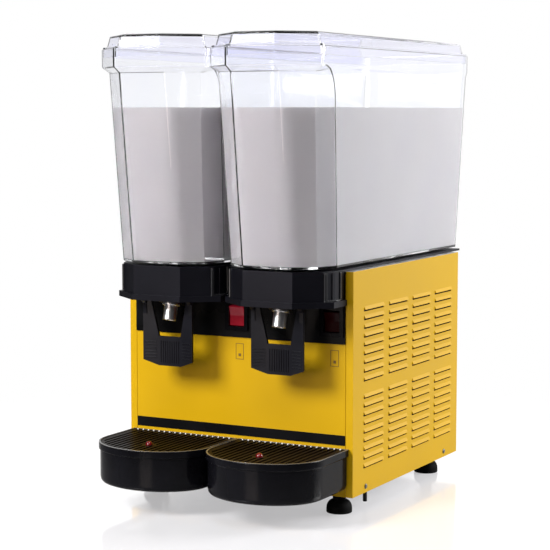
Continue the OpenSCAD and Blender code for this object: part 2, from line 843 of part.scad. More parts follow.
module tap_body() {
    tap_flange_w = 5;
    flange_t = 4;
    foot_cut = 40;
    prong_rise = 7;
    color(black) difference() {
        translate([0, -valve_y, 0]) union() {
            translate([0, 0, tap_foot_z - 10]) cylinder(r = tap_r, h = plate_z - tap_foot_z + 10);
            translate([0, 0, plate_z - flange_t]) cylinder(r = tap_r + tap_flange_w, h = flange_t);
        }
        translate([0, -valve_y, valve_z]) cylinder(r = outlet_r + gap, h = plate_z - valve_z + cut);
        translate([0, -valve_y, web_z - cut]) cylinder(r = seat_r, h = seat_t + 2 * cut);
        translate([0, -valve_y, tap_foot_z - 20]) cylinder(r = chamber_r, h = web_z - tap_foot_z + 20);
        translate([0, -valve_y, tap_foot_z]) rotate([-spout_lean, 0, 0])
            translate([-2 * tap_r, -2 * tap_r, -foot_cut]) cube([4 * tap_r, 4 * tap_r, foot_cut]);
        translate([-2 * tap_r, -lever_pin_y, pin_z]) rotate([0, 90, 0])
            cylinder(r = boss_r + 1, h = 4 * tap_r);
        plate_box(-prong_in - prong_w - prong_gap, prong_in + prong_w + prong_gap, -lever_pin_y, -valve_y,
            pin_z - prong_t / 2 - prong_gap, pin_z + prong_t / 2 + prong_rise);
    }
}

module spout() {
    bore_r = spout_r - 1.2;
    collar = 3;
    color(steel) translate([0, -valve_y, tap_foot_z]) rotate([-spout_lean, 0, 0]) difference() {
        union() {
            translate([0, 0, -collar]) cylinder(r = spout_r + 3, h = collar);
            translate([0, 0, -spout_l]) cylinder(r = spout_r, h = spout_l);
        }
        translate([0, 0, -spout_l - cut]) cylinder(r = bore_r, h = spout_l + 2 * cut);
    }
}

module lever_pin() {
    l = 2 * (ear_x + ear_t);
    color(steel) translate([-l / 2, -lever_pin_y, pin_z]) rotate([0, 90, 0]) {
        cylinder(r = pin_r, h = l);
        translate([0, 0, -2]) cylinder(r = pin_r + 1.5, h = 2);
    }
}

module lever() {
    z0 = cab_z1 - paddle_drop;
    z1 = z0 + paddle_h;
    arm_top = pin_z - boss_r - 2;
    hw = paddle_w / 2;
    y_mid = -paddle_y;
    y_side = -paddle_y - paddle_hollow;
    corner_cut = 8;
    face = [[-hw, y_side], [-paddle_mid_hw, y_mid], [paddle_mid_hw, y_mid], [hw, y_side]];
    back = [for (i = [3 : -1 : 0]) face[i] + [0, lever_t]];
    side_t = 6;
    foot_corner = [[paddle_mid_hw, z0], [paddle_mid_hw, z0 - cut], [hw + cut, z0 - cut],
        [hw + cut, z0 + corner_cut], [hw, z0 + corner_cut]];
    color(black) difference() {
        union() {
            translate([0, 0, z0]) linear_extrude(arm_top - z0) polygon(concat(face, back));
            for (x = [-hw, hw - side_t])
                translate([x, 0, 0]) rotate([90, 0, 90]) linear_extrude(side_t)
                    polygon([[y_side, arm_top - 20], [y_side + lever_t, arm_top - 20],
                        [-lever_pin_y + boss_r, pin_z], [-lever_pin_y - boss_r, pin_z],
                        [y_side, arm_top - 6]]);
            translate([-hw, -lever_pin_y, pin_z]) rotate([0, 90, 0]) cylinder(r = boss_r, h = paddle_w);
            for (x = [-prong_in - prong_w, prong_in]) {
                plate_box(x, x + prong_w, -lever_pin_y, -valve_y,
                    pin_z - prong_t / 2, pin_z + prong_t / 2);
                translate([x, -valve_y, pin_z]) rotate([0, 90, 0]) cylinder(r = prong_t / 2, h = prong_w);
            }
        }
        // The window between the arms, wider at its top
        rotate([90, 0, 0]) linear_extrude(lever_pin_y)
            polygon([[-paddle_mid_hw, z1], [paddle_mid_hw, z1],
                [arm_in, arm_top + cut], [-arm_in, arm_top + cut]]);
        // The cut corners at the paddle's foot
        for (x = [0, 1])
            mirror([x, 0, 0]) rotate([90, 0, 0]) linear_extrude(lever_pin_y) polygon(foot_corner);
        translate([-hw - cut, -lever_pin_y, pin_z]) rotate([0, 90, 0])
            cylinder(r = pin_r + run_gap, h = paddle_w + 2 * cut);
    }
}

module valve_plunger() {
    head_r = 8.5;
    head_h = 6;
    color(white) translate([0, -valve_y, 0]) {
        translate([0, 0, tap_foot_z + 2]) cylinder(r = stem_r, h = valve_z + 1 - tap_foot_z - 2);
        translate([0, 0, collar_z]) cylinder(r = collar_r, h = collar_t);
        translate([0, 0, valve_z + gap]) cylinder(r1 = head_r, r2 = head_r - 3, h = head_h);
    }
}

// A steady helix of wire between the plunger's collar and the tap body's web
module valve_spring() {
    z0 = collar_z + collar_t + wire_r + 0.2;
    z1 = web_z - wire_r - 0.2;
    sides = 6;
    steps = 12 * spring_turns;
    rings = [for (k = [0 : steps])
        let (a = 360 * spring_turns * k / steps, z = blend(z0, z1, k / steps))
        [for (i = [0 : sides - 1])
            let (b = 360 * i / sides, r = spring_r + wire_r * cos(b))
            [r * cos(a), r * sin(a), z + wire_r * sin(b)]]];
    color(steel) translate([0, -valve_y, 0]) loft(rings);
}

// Drip tray

function tray_plan(inset) =
    let (hw = tray_w / 2 - inset, b = tray_reach - tray_side - inset, back = -tray_back - inset)
    concat([for (k = [0 : 24]) let (a = 180 + 7.5 * k) [hw * cos(a), -tray_side + b * sin(a)]],
        [[hw, back], [-hw, back]]);

module tray() {
    inner = tray_inset + tray_t;
    band_z = tray_top - tray_band_h;
    color(black) {
        difference() {
            loft([
                at_z(tray_plan(tray_round), tray_z),
                at_z(tray_plan(5), tray_z + 1.6),
                at_z(tray_plan(3), tray_z + 4),
                at_z(tray_plan(tray_inset), tray_z + tray_round), at_z(tray_plan(tray_inset), band_z - 1),
                at_z(tray_plan(0), band_z), at_z(tray_plan(0), tray_top)
            ]);
            loft([
                at_z(tray_plan(tray_round + 2), tray_floor), at_z(tray_plan(inner + ledge_w), tray_floor + 5),
                at_z(tray_plan(inner + ledge_w), grid_z - gap), at_z(tray_plan(tray_t), grid_z - gap),
                at_z(tray_plan(tray_t), tray_top + cut)
            ]);
        }
        translate([0, -float_y, tray_floor - cut]) cylinder(r = float_post_r, h = float_post_h + cut);
    }
}

module grid() {
    island_r = float_r + 5;
    count = floor((tray_w / 2 - grid_inset - grid_border) / slot_pitch);
    color(black) translate([0, 0, grid_z]) difference() {
        linear_extrude(grid_t) difference() {
            polygon(tray_plan(grid_inset));
            difference() {
                intersection() {
                    polygon(tray_plan(grid_inset + grid_border));
                    for (i = [-count : count])
                        translate([i * slot_pitch - slot_w / 2, -tray_reach]) square([slot_w, tray_reach]);
                }
                translate([0, -float_y]) circle(r = island_r);
            }
        }
        translate([0, -float_y, -cut]) cylinder(r = float_r + gap, h = grid_t + 2 * cut);
    }
}

module float_button() {
    disc_r = 14;
    disc_h = 12;
    bore_h = 25;
    z0 = tray_floor + gap;
    color(red) translate([0, -float_y, 0]) difference() {
        union() {
            translate([0, 0, z0]) cylinder(r = disc_r, h = disc_h);
            translate([0, 0, z0]) cylinder(r = float_r, h = tray_top - z0);
            translate([0, 0, tray_top]) intersection() {
                sphere(r = float_r);
                cylinder(r = float_r, h = float_r);
            }
        }
        translate([0, 0, z0 - cut]) cylinder(r = float_post_r + gap, h = bore_h + cut);
    }
}

module tray_brackets() {
    z1 = tray_z - gap;
    color(steel) for (side = [-1, 1], x = [-bracket_x, bracket_x])
        translate([side * tank_pitch / 2 + x - bracket_w / 2, 0, 0]) {
            plate_box(0, bracket_w, -bracket_reach, 0, z1 - bracket_t, z1);
            plate_box(0, bracket_w, -bracket_t, 0, cab_z0 + 2, z1);
        }
}

// Switches

rocker_y = 3;
trunnion_r = 1.5;
trunnion_l = 2;

module switch_housing() {
    well_w = rocker_w + 2 * gap;
    well_h = rocker_h + 3;
    color(black) difference() {
        union() {
            plate_box(-bezel_w / 2, bezel_w / 2, -bezel_t, 0, -bezel_h / 2, bezel_h / 2);
            plate_box(-housing_w / 2, housing_w / 2, -cut, housing_d, -housing_h / 2, housing_h / 2);
        }
        plate_box(-well_w / 2, well_w / 2, -bezel_t - cut, housing_d - 8, -well_h / 2, well_h / 2);
        translate([-housing_w / 2 - cut, rocker_y, 0]) rotate([0, 90, 0])
            cylinder(r = trunnion_r + run_gap, h = housing_w + 2 * cut);
    }
}

module rocker() {
    color(red) translate([0, rocker_y, 0]) rotate([rocker_tilt, 0, 0]) {
        plate_box(-rocker_w / 2, rocker_w / 2, -rocker_t * 0.75, rocker_t * 0.25,
            -rocker_h / 2, rocker_h / 2);
        translate([-rocker_w / 2 - trunnion_l, 0, 0]) rotate([0, 90, 0])
            cylinder(r = trunnion_r, h = rocker_w + 2 * trunnion_l);
    }
}

in_frame() base_pan();
in_frame() mirror([1, 0, 0]) side_panel();  // left_side_panel
in_frame() side_panel();  // right_side_panel
in_frame() rear_panel();
in_frame() front_panel();
in_frame() control_panel();
in_frame() bare_strip();
in_frame() top_plate();
in_frame() feet();
in_frame() panel_screws();
in_frame() base_bolts();
in_frame() tray_brackets();
in_frame() compressor();
in_frame() condenser();
in_frame() fan_shroud();
in_frame() fan_motor();
in_frame() fan();
in_frame() filter_drier();
in_frame() refrigerant_pipes();
in_frame() cable_gland();
in_frame() control_box();
at_tank(-1) bowl_base();  // left_bowl_base
at_tank(1) bowl_base();  // right_bowl_base
at_tank(-1) evaporator();  // left_evaporator
at_tank(1) evaporator();  // right_evaporator
at_tank(-1) stirrer_motor();  // left_stirrer_motor
at_tank(1) stirrer_motor();  // right_stirrer_motor
at_tank(-1) drive_magnet();  // left_drive_magnet
at_tank(1) drive_magnet();  // right_drive_magnet
at_tank(-1) impeller();  // left_impeller
at_tank(1) impeller();  // right_impeller
at_tank(-1) tank_seal();  // left_tank_seal
at_tank(1) tank_seal();  // right_tank_seal
at_tank(-1) tank();  // left_tank
at_tank(1) tank();  // right_tank
at_tank(-1) lid();  // left_lid
at_tank(1) lid();  // right_lid
at_tank(-1) tap_body();  // left_tap_body
at_tank(1) tap_body();  // right_tap_body
at_tank(-1) spout();  // left_spout
at_tank(1) spout();  // right_spout
at_tank(-1) lever_pin();  // left_lever_pin
at_tank(1) lever_pin();  // right_lever_pin
at_tank(-1) lever();  // left_lever
at_tank(1) lever();  // right_lever
at_tank(-1) valve_plunger();  // left_valve_plunger
at_tank(1) valve_plunger();  // right_valve_plunger
at_tank(-1) valve_spring();  // left_valve_spring
at_tank(1) valve_spring();  // right_valve_spring
at_tank(-1) tray();  // left_tray
at_tank(1) tray();  // right_tray
at_tank(-1) grid();  // left_grid
at_tank(1) grid();  // right_grid
at_tank(-1) float_button();  // left_float
at_tank(1) float_button();  // right_float
in_frame() at_switch(-1) switch_housing();  // left_switch_housing
in_frame() at_switch(1) switch_housing();  // right_switch_housing
in_frame() at_switch(-1) rocker();  // left_rocker
in_frame() at_switch(1) rocker();  // right_rocker
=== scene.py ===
import math

import bpy
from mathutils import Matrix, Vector


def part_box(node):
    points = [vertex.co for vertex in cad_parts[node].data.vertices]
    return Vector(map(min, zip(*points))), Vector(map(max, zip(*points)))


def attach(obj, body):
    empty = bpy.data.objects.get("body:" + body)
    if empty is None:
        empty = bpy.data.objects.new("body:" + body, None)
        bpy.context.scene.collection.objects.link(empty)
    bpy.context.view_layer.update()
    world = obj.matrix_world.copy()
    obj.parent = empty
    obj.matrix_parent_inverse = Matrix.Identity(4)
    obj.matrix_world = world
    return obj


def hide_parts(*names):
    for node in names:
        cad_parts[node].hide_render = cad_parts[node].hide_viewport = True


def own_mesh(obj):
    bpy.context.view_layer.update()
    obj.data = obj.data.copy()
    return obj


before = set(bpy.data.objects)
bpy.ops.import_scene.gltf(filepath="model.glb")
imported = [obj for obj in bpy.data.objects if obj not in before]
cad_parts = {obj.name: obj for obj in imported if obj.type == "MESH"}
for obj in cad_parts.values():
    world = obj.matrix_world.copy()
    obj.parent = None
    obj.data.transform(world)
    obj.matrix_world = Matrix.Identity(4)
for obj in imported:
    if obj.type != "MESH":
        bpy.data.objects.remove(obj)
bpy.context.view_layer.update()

# Camera: to the right of the front and a little above the cabinet, on a long lens, so that the
# upright edges stay almost parallel.
FRONT_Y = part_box("front_panel")[0].y
eye = Vector((1.1743, FRONT_Y - 2.0801, 0.5532))
aim = Vector((0.0593, FRONT_Y, 0.3286))
bpy.ops.object.camera_add(location=eye, rotation=(aim - eye).to_track_quat("-Z", "Y").to_euler())
camera = bpy.context.object
camera.data.lens = 111.75
camera.data.sensor_width = 36.0
bpy.context.scene.camera = camera
bpy.context.scene.view_settings.view_transform = "Standard"
CLEAR_WALL_BOUNCES = 40
bpy.context.scene.cycles.max_bounces = CLEAR_WALL_BOUNCES
bpy.context.scene.cycles.transmission_bounces = CLEAR_WALL_BOUNCES
bpy.context.scene.cycles.glossy_bounces = 10


# Studio: a pale, slightly glossy floor that runs out into white, four soft boxes, and a bright wall
# behind the machine that shows through the clear tanks.
def soft_box(name, place, size, watts, tint=(1, 1, 1)):
    """A square soft box that faces the middle of the cabinet."""
    turn = (Vector((0, 0, 0.3)) - Vector(place)).to_track_quat("-Z", "Y").to_euler()
    bpy.ops.object.light_add(type="AREA", location=place, rotation=turn)
    lamp = bpy.context.object
    lamp.name = name
    lamp.data.size = size
    lamp.data.energy = watts
    lamp.data.color = tint


def map_range(nodes, start, end, interpolation="LINEAR"):
    """A node that takes values between the two starts to values between the two ends."""
    node = nodes.new("ShaderNodeMapRange")
    node.interpolation_type = interpolation
    for socket, value in zip(("From Min", "From Max", "To Min", "To Max"), (*start, *end)):
        node.inputs[socket].default_value = value
    return node


warm_light = (1.0, 0.86, 0.78)
soft_box("key_box", (-0.74, -1.5, 1.2), 0.7, 40)
soft_box("low_box", (-0.25, -1.7, 0.35), 0.5, 4.6, warm_light)
soft_box("side_box", (2.1, 1.4, 1.3), 1.3, 79)
soft_box("top_box", (0.6, -1.2, 2.3), 1.2, 20)

studio = bpy.data.worlds.new("studio")
studio.use_nodes = True
bpy.context.scene.world = studio
sky, sky_links = studio.node_tree.nodes, studio.node_tree.links


def reckon(operation, *terms):
    """A maths node of the studio. Each of its two terms is another node's output or a number."""
    node = sky.new("ShaderNodeMath")
    node.operation = operation
    for socket, term in zip(node.inputs, terms):
        if isinstance(term, float):
            socket.default_value = term
        else:
            sky_links.new(term, socket)
    return node.outputs["Value"]


direction = sky.new("ShaderNodeTexCoord")
behind = sky.new("ShaderNodeVectorMath")
behind.operation = "DOT_PRODUCT"
behind.inputs[1].default_value = (-0.08, 0.995, 0.05)
wall = map_range(sky, (0.4, 0.9), (0.035, 1.0), "SMOOTHSTEP")
sky_links.new(direction.outputs["Generated"], behind.inputs[0])
sky_links.new(behind.outputs["Value"], wall.inputs["Value"])
wall_glow = 0.7
seen = sky.new("ShaderNodeLightPath")
unscattered = reckon("LESS_THAN", seen.outputs["Diffuse Depth"], 0.5)
through = reckon("MULTIPLY", seen.outputs["Is Transmission Ray"], unscattered)
entered = reckon("GREATER_THAN", seen.outputs["Transmission Depth"], 0.5)
inner = reckon("MULTIPLY", reckon("MULTIPLY", entered, wall_glow), unscattered)
clear = reckon("MAXIMUM", inner, through)
plain_or_wall = reckon("MAXIMUM", wall.outputs["Result"], clear)
brightest = reckon("MAXIMUM", plain_or_wall, seen.outputs["Is Camera Ray"])
sky_links.new(brightest, sky["Background"].inputs["Strength"])
sky["Background"].inputs["Color"].default_value = (1, 1, 1, 1)

bpy.ops.mesh.primitive_plane_add(size=6, location=(0, 0, -0.0002))
floor = bpy.context.object
floor.name = "floor"
floor_finish = bpy.data.materials.new("pale_floor")
floor_finish.use_nodes = True
pale, pale_links = floor_finish.node_tree.nodes, floor_finish.node_tree.links
floor_shader = pale["Principled BSDF"]
floor_shader.inputs["Base Color"].default_value = (0.5, 0.495, 0.505, 1)
floor_shader.inputs["Roughness"].default_value = 0.1
floor_shader.inputs["IOR"].default_value = 1.8
floor_shader.inputs["Emission Color"].default_value = (0.43, 0.427, 0.435, 1)
looked_at = pale.new("ShaderNodeLightPath")
pale_links.new(looked_at.outputs["Is Camera Ray"], floor_shader.inputs["Emission Strength"])
spot = pale.new("ShaderNodeTexCoord")
away = pale.new("ShaderNodeVectorMath")
away.operation = "LENGTH"
run_out = map_range(pale, (0.35, 0.95), (1.0, 0.0), "SMOOTHSTEP")
pale_links.new(spot.outputs["Object"], away.inputs[0])
pale_links.new(away.outputs["Value"], run_out.inputs["Value"])
pale_links.new(run_out.outputs["Result"], floor_shader.inputs["Alpha"])
floor.data.materials.append(floor_finish)

# Cabinet shell: folded steel sheets, powder-coated yellow. The sides carry columns of pressed
# louvres and wrap round the front and rear panels with a folded edge.
relief = bpy.data.node_groups.new("surface_relief", "ShaderNodeTree")
for socket in ("Grain Scale", "Blotch Scale"):
    relief.interface.new_socket(socket, in_out="INPUT", socket_type="NodeSocketFloat")
for socket in ("Grain", "Blotch"):
    relief.interface.new_socket(socket, in_out="OUTPUT", socket_type="NodeSocketFloat")
relief_in = relief.nodes.new("NodeGroupInput")
relief_out = relief.nodes.new("NodeGroupOutput")
relief_place = relief.nodes.new("ShaderNodeTexCoord")
for scale, output, detail in (("Grain Scale", "Grain", 2.0), ("Blotch Scale", "Blotch", 4.0)):
    noise = relief.nodes.new("ShaderNodeTexNoise")
    noise.inputs["Detail"].default_value = detail
    relief.links.new(relief_place.outputs["Object"], noise.inputs["Vector"])
    relief.links.new(relief_in.outputs[scale], noise.inputs["Scale"])
    relief.links.new(noise.outputs["Fac"], relief_out.inputs[output])


def new_finish(name, shades, rough, grain, blotch, plain):
    """Two shades and two roughnesses that drift in blotches over a fine grain. Grain is its scale
    and its height in metres. Values that are the same all over go straight to the shader."""
    material = bpy.data.materials.new(name)
    material.use_nodes = True
    nodes, links = material.node_tree.nodes, material.node_tree.links
    shader = nodes["Principled BSDF"]
    for socket, value in plain.items():
        shader.inputs[socket].default_value = value
    surface = nodes.new("ShaderNodeGroup")
    surface.node_tree = relief
    surface.inputs["Grain Scale"].default_value = grain[0]
    surface.inputs["Blotch Scale"].default_value = blotch
    tint = nodes.new("ShaderNodeValToRGB")
    for stop, place, shade in zip(tint.color_ramp.elements, (0.35, 0.65), shades):
        stop.position = place
        stop.color = (*shade, 1)
    gloss = map_range(nodes, (0.3, 0.7), rough)
    bump = nodes.new("ShaderNodeBump")
    bump.inputs["Distance"].default_value = grain[1]
    links.new(surface.outputs["Blotch"], tint.inputs["Fac"])
    links.new(tint.outputs["Color"], shader.inputs["Base Color"])
    links.new(surface.outputs["Blotch"], gloss.inputs["Value"])
    links.new(gloss.outputs["Result"], shader.inputs["Roughness"])
    links.new(surface.outputs["Grain"], bump.inputs["Height"])
    links.new(bump.outputs["Normal"], shader.inputs["Normal"])
    return material


def select_only(piece):
    """Makes a piece the one that the next operator works on."""
    bpy.ops.object.select_all(action="DESELECT")
    piece.select_set(True)
    bpy.context.view_layer.objects.active = piece


SMOOTH_UNDER = math.radians(35)


def round_edges(piece, radius, steps=2, sharper_than=25):
    """Rounds a piece's edges for good. Its flat faces stay flat in the shading."""
    select_only(piece)
    edges = piece.modifiers.new("edges", "BEVEL")
    edges.width = radius
    edges.segments = steps
    edges.limit_method = "ANGLE"
    edges.angle_limit = math.radians(sharper_than)
    bpy.ops.object.modifier_apply(modifier="edges")
    bpy.ops.object.shade_smooth_by_angle(angle=SMOOTH_UNDER)
    flats = piece.modifiers.new("flats", "WEIGHTED_NORMAL")
    flats.keep_sharp = True
    bpy.ops.object.modifier_apply(modifier="flats")


def merged_copy(node, name):
    """A copy of a solid's mesh with its loose triangles merged and its flat faces made whole."""
    piece = bpy.data.objects.new(name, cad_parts[node].data.copy())
    bpy.context.scene.collection.objects.link(piece)
    select_only(piece)
    bpy.ops.mesh.customdata_custom_splitnormals_clear()
    bpy.ops.object.mode_set(mode="EDIT")
    bpy.ops.mesh.select_all(action="SELECT")
    bpy.ops.mesh.remove_doubles(threshold=0.00001)
    bpy.ops.mesh.dissolve_limited(angle_limit=math.radians(0.5))
    bpy.ops.object.mode_set(mode="OBJECT")
    return piece


def fit(piece, finish, body, slot, *nodes):
    """Gives a piece its finish and the body it moves with, and hides the solids it stands for. Its slot is
    not used.
    """
    piece.data.materials.clear()
    piece.data.materials.append(finish)
    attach(piece, body)
    if nodes:
        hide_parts(*nodes)


def dress(node, name, finish, body, slot, **edges):
    """Puts a copy with rounded edges in the place of a solid."""
    piece = merged_copy(node, name)
    round_edges(piece, **edges)
    fit(piece, finish, body, slot, node)


yellow_paint = new_finish("yellow_powder_coat", ((0.63, 0.37, 0.0), (0.67, 0.394, 0.001)),
    (0.40, 0.50), (900, 0.000012), 5, {"Specular IOR Level": 0.22})
for node in ("left_side_panel", "right_side_panel", "rear_panel", "front_panel"):
    dress(node, node + "_sheet", yellow_paint, "cabinet", "yellow_paint", radius=0.00045)

# Control panel and strip: black acrylic sheets bonded to the front panel, with a faint haze of
# wiping marks. The strip is left bare.
black_acrylic = new_finish("black_acrylic", ((0.003, 0.003, 0.003), (0.006, 0.006, 0.007)),
    (0.22, 0.34), (500, 0.000004), 9, {"Specular IOR Level": 0.12})
for node in ("control_panel", "bare_strip"):
    dress(node, node + "_sheet", black_acrylic, "cabinet", "black_gloss", radius=0.0003)

# Feet, base bolts and panel screws: moulded rubber feet screwed under the base, two spare
# levelling bolts, and domed screws that hold the side panels.
rubber = new_finish("foot_rubber", ((0.002, 0.002, 0.002), (0.005, 0.005, 0.005)),
    (0.6, 0.8), (1400, 0.00003), 30, {"Specular IOR Level": 0.1})
dark_metal = new_finish("blackened_steel", ((0.012, 0.012, 0.013), (0.03, 0.03, 0.032)),
    (0.35, 0.5), (700, 0.00001), 20, {"Metallic": 0.6})
dull_steel = new_finish("dull_screw_steel", ((0.17, 0.16, 0.14), (0.26, 0.25, 0.22)),
    (0.35, 0.5), (500, 0.000008), 80, {"Metallic": 1.0})
dress("feet", "rubber_feet", rubber, "cabinet", "black_rubber", radius=0.0012, steps=3)
dress("base_bolts", "levelling_bolts", dark_metal, "cabinet", "dark_metal", radius=0.0005)
dress("panel_screws", "domed_screws", dull_steel, "cabinet", "steel", radius=0.0006, steps=3)

# Base pan, top plate and tray brackets: galvanised sheet, bent and spot-welded. The brackets carry
# the drip trays in front of the cabinet.
zinc = new_finish("zinc_plate", ((0.52, 0.53, 0.55), (0.68, 0.69, 0.7)),
    (0.25, 0.42), (300, 0.000006), 60, {"Metallic": 1.0})
for node in ("base_pan", "top_plate", "tray_brackets"):
    dress(node, node + "_sheet", zinc, "cabinet", "steel", radius=0.0004)


# Cooling unit: a black hermetic compressor, a finned condenser with its fan, a copper drier and
# the copper pipes, with the control box and the cable gland beside them. It stands on the base pan
# and shows a little through the louvres on the left.
def coat(node, finish):
    """Gives a solid that is shown as it is its finish."""
    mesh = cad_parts[node].data
    mesh.materials.clear()
    mesh.materials.append(finish)


fins = new_finish("condenser_fins", ((0.6, 0.61, 0.62), (0.75, 0.76, 0.77)),
    (0.3, 0.45), (400, 0.00001), 40, {"Metallic": 1.0})
copper = new_finish("copper_pipe", ((0.62, 0.27, 0.14), (0.75, 0.38, 0.22)),
    (0.25, 0.45), (200, 0.000006), 35, {"Metallic": 1.0})
black_plastic = new_finish("moulded_black_plastic", ((0.002, 0.002, 0.0035), (0.003, 0.003, 0.005)),
    (0.42, 0.50), (1600, 0.00001), 14,
    {"Specular IOR Level": 0.22, "Specular Tint": (0.85, 0.85, 1.0, 1)})
for node, finish in (("compressor", dark_metal), ("condenser", fins), ("fan_shroud", black_plastic),
        ("fan_motor", dark_metal), ("fan", fins), ("filter_drier", copper),
        ("refrigerant_pipes", copper), ("control_box", black_plastic), ("cable_gland", black_plastic)):
    coat(node, finish)


# Bowl bases: one black moulding under each tank, with a faceted nose over the tap and a lip below
# it. The nose's sides carry the glossy clips that hold the tank down.
def bar(name, size, place, turn=0.0, radius=0.0006):
    """A moulded bar of the given size, turned about Z, with rounded edges."""
    bpy.ops.object.select_all(action="DESELECT")
    bpy.ops.mesh.primitive_cube_add(size=1, location=place, rotation=(0, 0, turn))
    piece = bpy.context.object
    piece.name = name
    piece.scale = size
    bpy.ops.object.transform_apply(location=True, rotation=True, scale=True)
    round_edges(piece, radius)
    return piece


def join(pieces):
    """Makes one piece of several. The first one keeps its name."""
    bpy.ops.object.select_all(action="DESELECT")
    for piece in pieces:
        piece.select_set(True)
    bpy.context.view_layer.objects.active = pieces[0]
    bpy.ops.object.join()
    return pieces[0]


clip_plastic = new_finish("clip_plastic", ((0.02, 0.02, 0.022), (0.03, 0.03, 0.033)),
    (0.16, 0.24), (300, 0.000004), 20, {"Specular IOR Level": 0.5})
SIDES = ("left", "right")
tank_x = {side: sum(corner.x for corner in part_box(f"{side}_tank")) / 2 for side in SIDES}
clip_low, clip_high = 0.292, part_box("left_bowl_base")[1].z - 0.002
clip_t = 0.003
clip_lean = math.atan2(9, 20)
clip_round = 0.0012
clip_leg = (clip_t, 0.005, clip_high - clip_low)
clip_leg_z = (clip_low + clip_high) / 2
clip_foot_z = clip_low + 0.007
for side in SIDES:
    dress(f"{side}_bowl_base", f"{side}_base_moulding", black_plastic, "cabinet", "black_plastic",
        radius=0.0013, steps=3)
    for hand, out in (("left", -1), ("right", 1)):
        front_x, foot_x, rear_x = (tank_x[side] + out * reach for reach in (0.0736, 0.077, 0.0806))
        lean = -out * clip_lean
        clip = [
            bar(name, size, (x, FRONT_Y - forward, z), turn, clip_round)
            for name, size, x, forward, z, turn in (
                (f"{side}_clip_{hand}", clip_leg, front_x, 0.0465, clip_leg_z, lean),
                ("clip_leg", clip_leg, rear_x, 0.016, clip_leg_z, 0),
                ("clip_foot", (clip_t, 0.022, 0.007), foot_x, 0.039, clip_foot_z, lean),
                ("clip_foot", (clip_t, 0.018, 0.007), rear_x, 0.022, clip_foot_z, 0),
            )
        ]
        fit(join(clip), clip_plastic, "cabinet", "black_gloss")

# Vent shade mats: black foam-textured mats behind the vents of the rear panel and behind the louvres
# on the right, where the fan draws its air. They are painted shade that keeps the slots dark.
# Black foam finish for the mats: painted shade behind the slots.
slot_shade_finish = new_finish("slot_painted_shade", ((0.004, 0.004, 0.004), (0.012, 0.012, 0.012)),
    (0.8, 0.95), (900, 0.0008), 200, {"Specular IOR Level": 0.1})
rear_mat, side_mat, mat_round = (0.25, 0.006, 0.16), (0.005, 0.33, 0.27), 0.002
rear_place = (0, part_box("rear_panel")[1].y - 0.006, 0.195)
side_place = (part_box("base_pan")[1].x - 0.003, 0.0445, 0.182)
for name, size, place in (
        ("rear_vent_shade_mat", rear_mat, rear_place),
        ("side_vent_shade_mat", side_mat, side_place)):
    fit(bar(name, size, place, 0, mat_round), slot_shade_finish, "cabinet", "black_rubber")

# Evaporators, stirrers and seals: a drawn stainless pod stands up through each tank's floor in a
# silicone ring. A motor below turns a magnet inside it, and that turns the impeller on top.
brushed = new_finish("brushed_steel", ((0.56, 0.57, 0.59), (0.68, 0.69, 0.7)),
    (0.2, 0.32), (250, 0.000004), 30, {"Metallic": 1.0})
silicone = new_finish("white_silicone", ((0.78, 0.78, 0.76), (0.84, 0.84, 0.82)),
    (0.5, 0.65), (600, 0.00001), 25, {})
white_plastic = new_finish("white_plastic", ((0.80, 0.80, 0.78), (0.85, 0.85, 0.84)),
    (0.3, 0.42), (900, 0.000006), 25, {})
for side in SIDES:
    dress(f"{side}_evaporator", f"{side}_evaporator_pod", brushed, "cabinet", "steel", radius=0.0005)
    coat(f"{side}_stirrer_motor", dark_metal)
    coat(f"{side}_drive_magnet", dark_metal)
    coat(f"{side}_tank_seal", silicone)
    dress(f"{side}_impeller", f"{side}_stirrer_impeller", white_plastic, f"{side}_impeller",
        "white_plastic", radius=0.0005)

# Tanks: clear polycarbonate, injection-moulded in one piece with a stepped rim. They lift straight
# off the pods.
clear_plastic = new_finish("clear_polycarbonate", ((0.97, 0.975, 1.0), (0.98, 0.985, 1.0)),
    (0.01, 0.05), (24, 0.00001), 12, {"Transmission Weight": 1.0, "IOR": 1.45})
for side in SIDES:
    dress(f"{side}_tank", f"{side}_clear_tank", clear_plastic, f"{side}_tank", "clear_plastic",
        radius=0.0015, steps=4, sharper_than=12)


# Drink: a milky drink that fills each tank to almost three quarters of its height and stands round
# the pod. It is cut from the tank's own inner walls, a hair inside them, with softer corners.
def pick(piece, kind, wanted):
    """Opens a piece for editing with only its wanted vertices, edges or faces selected."""
    select_only(piece)
    bpy.ops.object.mode_set(mode="EDIT")
    bpy.ops.mesh.select_mode(type=kind)
    bpy.ops.mesh.select_all(action="DESELECT")
    bpy.ops.object.mode_set(mode="OBJECT")
    mesh = piece.data
    for part in {"VERT": mesh.vertices, "EDGE": mesh.edges, "FACE": mesh.polygons}[kind]:
        part.select = wanted(part)
    bpy.ops.object.mode_set(mode="EDIT")


